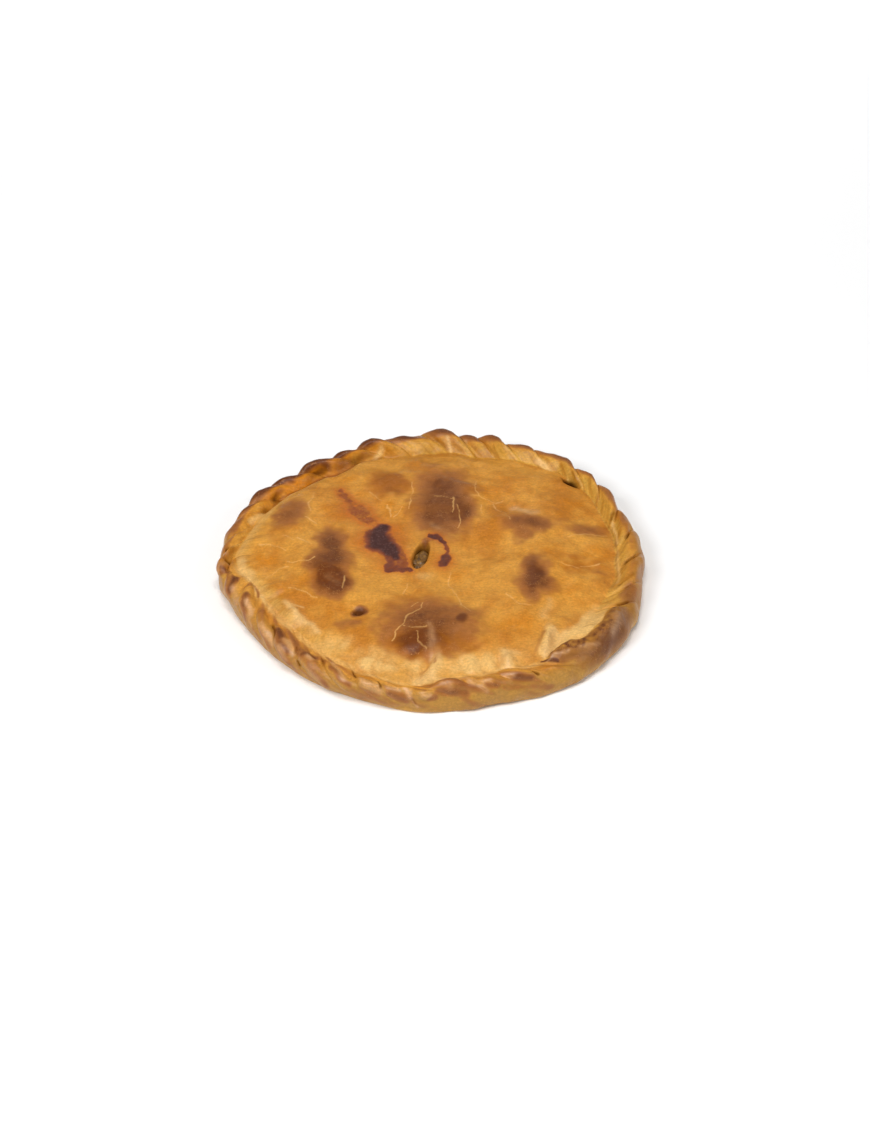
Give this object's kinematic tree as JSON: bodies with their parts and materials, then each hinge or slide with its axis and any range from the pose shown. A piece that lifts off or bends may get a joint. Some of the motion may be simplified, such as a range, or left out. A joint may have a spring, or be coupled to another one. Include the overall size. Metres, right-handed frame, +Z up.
{
  "type": "empanada",
  "caption": "Round flat empanada with a golden swollen lid, browned patches, a central vent slot and a rim folded over into a rope.",
  "frame": {"origin": "middle of the flat base, on the table", "axes": "+Z up out of the lid; -Y towards the front, where the folds show from outside; +X to the right seen from the front"},
  "size_m": [0.2793, 0.2786, 0.0267],
  "materials": {
    "crust": "satin",
    "vent_filling": "satin"
  },
  "bodies": {
    "root": {"crust": "crust", "vent_filling": "vent_filling"}
  },
  "joints": []
}
